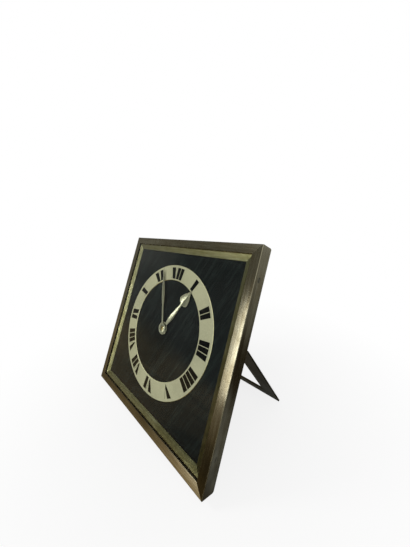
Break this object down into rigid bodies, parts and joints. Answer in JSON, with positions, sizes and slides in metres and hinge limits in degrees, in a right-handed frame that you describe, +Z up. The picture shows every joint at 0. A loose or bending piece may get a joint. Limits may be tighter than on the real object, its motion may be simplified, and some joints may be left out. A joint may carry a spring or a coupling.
{
  "type": "square table clock",
  "caption": "Square metal-framed table clock with a raised chapter ring, two spade hands, a wind-up movement and a hinged plate stand that folds flat behind it.",
  "frame": {"origin": "on the table, under the middle of the standing clock's box", "axes": "+Z up, +X to the clock's left as it faces its viewer's right hand, +Y to the rear: the dial faces -Y and leans back onto its stand"},
  "size_m": [0.16, 0.098, 0.1464],
  "materials": {
    "bronze_frame": "satin, toned dark bronze",
    "champagne_slip": "satin champagne",
    "clear_glass": "polished",
    "dial_black": "satin blue-black lacquer",
    "ring_gilt": "finely turned pale gilt",
    "hand_metal": "satin pale gilt",
    "polished_brass": "polished",
    "movement_brass": "brushed",
    "bright_steel": "polished",
    "blued_steel": "blued",
    "spring_steel": "plain",
    "ruby": "polished",
    "back_lacquer": "satin dark bronze lacquer",
    "case_brass": "satin lacquered"
  },
  "bodies": {
    "clock_case": {"frame_top_bar": "bronze_frame", "frame_bottom_bar": "bronze_frame", "frame_left_bar": "bronze_frame", "frame_right_bar": "bronze_frame", "side_screws": "bronze_frame", "front_glass": "clear_glass", "dial_slip": "champagne_slip", "dial_plate": "dial_black", "chapter_ring": "ring_gilt", "dial_posts": "polished_brass", "back_tray": "back_lacquer", "minute_wheel_post": "bright_steel", "front_plate": "movement_brass", "rear_plate": "movement_brass", "pillars": "movement_brass", "pillar_screws": "blued_steel", "click_screw": "blued_steel", "click_spring": "spring_steel", "banking_pins": "bright_steel", "hairspring": "blued_steel", "hairspring_stud": "bright_steel", "jewels": "ruby", "movement_case": "case_brass", "rear_cover": "case_brass", "case_screws": "bright_steel", "movement_screws": "blued_steel", "hinge_brackets": "bronze_frame", "hinge_pins": "bronze_frame", "bracket_screws": "bright_steel"},
    "minute_hand_set": {"minute_hand": "hand_metal", "hand_cap": "polished_brass", "cannon_pinion": "bright_steel", "centre_arbor": "bright_steel", "setting_knob": "polished_brass"},
    "hour_hand_set": {"hour_hand": "hand_metal", "hour_wheel": "movement_brass"},
    "minute_wheel_set": {"minute_wheel": "movement_brass"},
    "fourth_wheel_set": {"fourth_wheel": "movement_brass", "fourth_arbor": "bright_steel"},
    "third_wheel_set": {"third_wheel": "movement_brass", "third_arbor": "bright_steel"},
    "centre_wheel_set": {"centre_wheel": "movement_brass"},
    "barrel_set": {"barrel": "movement_brass", "barrel_cover": "movement_brass", "mainspring": "spring_steel"},
    "escape_wheel_set": {"escape_wheel": "movement_brass", "escape_arbor": "bright_steel"},
    "lever_set": {"pallet_lever": "bright_steel", "pallet_stones": "ruby"},
    "balance_set": {"balance_wheel": "polished_brass", "balance_staff": "bright_steel"},
    "winding_set": {"barrel_arbor": "bright_steel", "ratchet_wheel": "bright_steel", "winding_key": "polished_brass"},
    "click_body": {"click": "bright_steel"},
    "regulator_body": {"regulator_lever": "bright_steel"},
    "stand_body": {"stand": "bronze_frame"}
  },
  "joints": [
    {"name": "minute_hand_turn", "type": "hinge", "parent": "clock_case", "child": "minute_hand_set", "pos_m": [0, 0.00169, 0.06887], "axis": [0, 0.8826, -0.4701], "continuous": true},
    {"name": "hour_hand_turn", "type": "hinge", "parent": "clock_case", "child": "hour_hand_set", "pos_m": [0, 0.00169, 0.06887], "axis": [0, 0.8826, -0.4701], "continuous": true},
    {"name": "minute_wheel_turn", "type": "hinge", "parent": "clock_case", "child": "minute_wheel_set", "pos_m": [0.01, 0.00169, 0.06887], "axis": [0, 0.8826, -0.4701], "continuous": true},
    {"name": "fourth_wheel_turn", "type": "hinge", "parent": "clock_case", "child": "fourth_wheel_set", "pos_m": [-0.00459, 0.00811, 0.08091], "axis": [0, 0.8826, -0.4701], "continuous": true},
    {"name": "third_wheel_turn", "type": "hinge", "parent": "clock_case", "child": "third_wheel_set", "pos_m": [-0.00935, 0.00423, 0.07363], "axis": [0, 0.8826, -0.4701], "continuous": true},
    {"name": "centre_wheel_turn", "type": "hinge", "parent": "clock_case", "child": "centre_wheel_set", "pos_m": [0, 0.00169, 0.06887], "axis": [0, 0.8826, -0.4701], "continuous": true},
    {"name": "barrel_turn", "type": "hinge", "parent": "clock_case", "child": "barrel_set", "pos_m": [0, -0.00423, 0.05775], "axis": [0, 0.8826, -0.4701], "continuous": true},
    {"name": "escape_wheel_turn", "type": "hinge", "parent": "clock_case", "child": "escape_wheel_set", "pos_m": [0.00465, 0.00811, 0.08091], "axis": [0, 0.8826, -0.4701], "continuous": true},
    {"name": "pallet_lever_rock", "type": "hinge", "parent": "clock_case", "child": "lever_set", "pos_m": [0.00899, 0.00736, 0.07952], "axis": [0, 0.8826, -0.4701], "range_deg": [-3, 3]},
    {"name": "balance_swing", "type": "hinge", "parent": "clock_case", "child": "balance_set", "pos_m": [0.01284, 0.0052, 0.07546], "axis": [0, 0.8826, -0.4701], "range_deg": [-135, 135]},
    {"name": "winding_key_turn", "type": "hinge", "parent": "clock_case", "child": "winding_set", "pos_m": [0, -0.00423, 0.05775], "axis": [0, 0.8826, -0.4701], "continuous": true},
    {"name": "click_lift", "type": "hinge", "parent": "clock_case", "child": "click_body", "pos_m": [0.00752, -0.00295, 0.06016], "axis": [0, 0.8826, -0.4701], "range_deg": [0, 5]},
    {"name": "regulator_turn", "type": "hinge", "parent": "clock_case", "child": "regulator_body", "pos_m": [0.01284, 0.0052, 0.07546], "axis": [0, 0.8826, -0.4701], "range_deg": [-12, 12]},
    {"name": "stand_hinge", "type": "hinge", "parent": "clock_case", "child": "stand_body", "pos_m": [0, 0.00534, 0.07656], "axis": [1, 0, 0], "range_deg": [-57.5, 0]}
  ],
  "couplings": [
    {"joint": "minute_wheel_turn", "follows": "minute_hand_turn", "ratio": -0.33333},
    {"joint": "hour_hand_turn", "follows": "minute_hand_turn", "ratio": 0.083333},
    {"joint": "third_wheel_turn", "follows": "fourth_wheel_turn", "ratio": -0.13333},
    {"joint": "centre_wheel_turn", "follows": "fourth_wheel_turn", "ratio": 0.016667},
    {"joint": "barrel_turn", "follows": "fourth_wheel_turn", "ratio": -0.0027778},
    {"joint": "escape_wheel_turn", "follows": "fourth_wheel_turn", "ratio": -10}
  ]
}
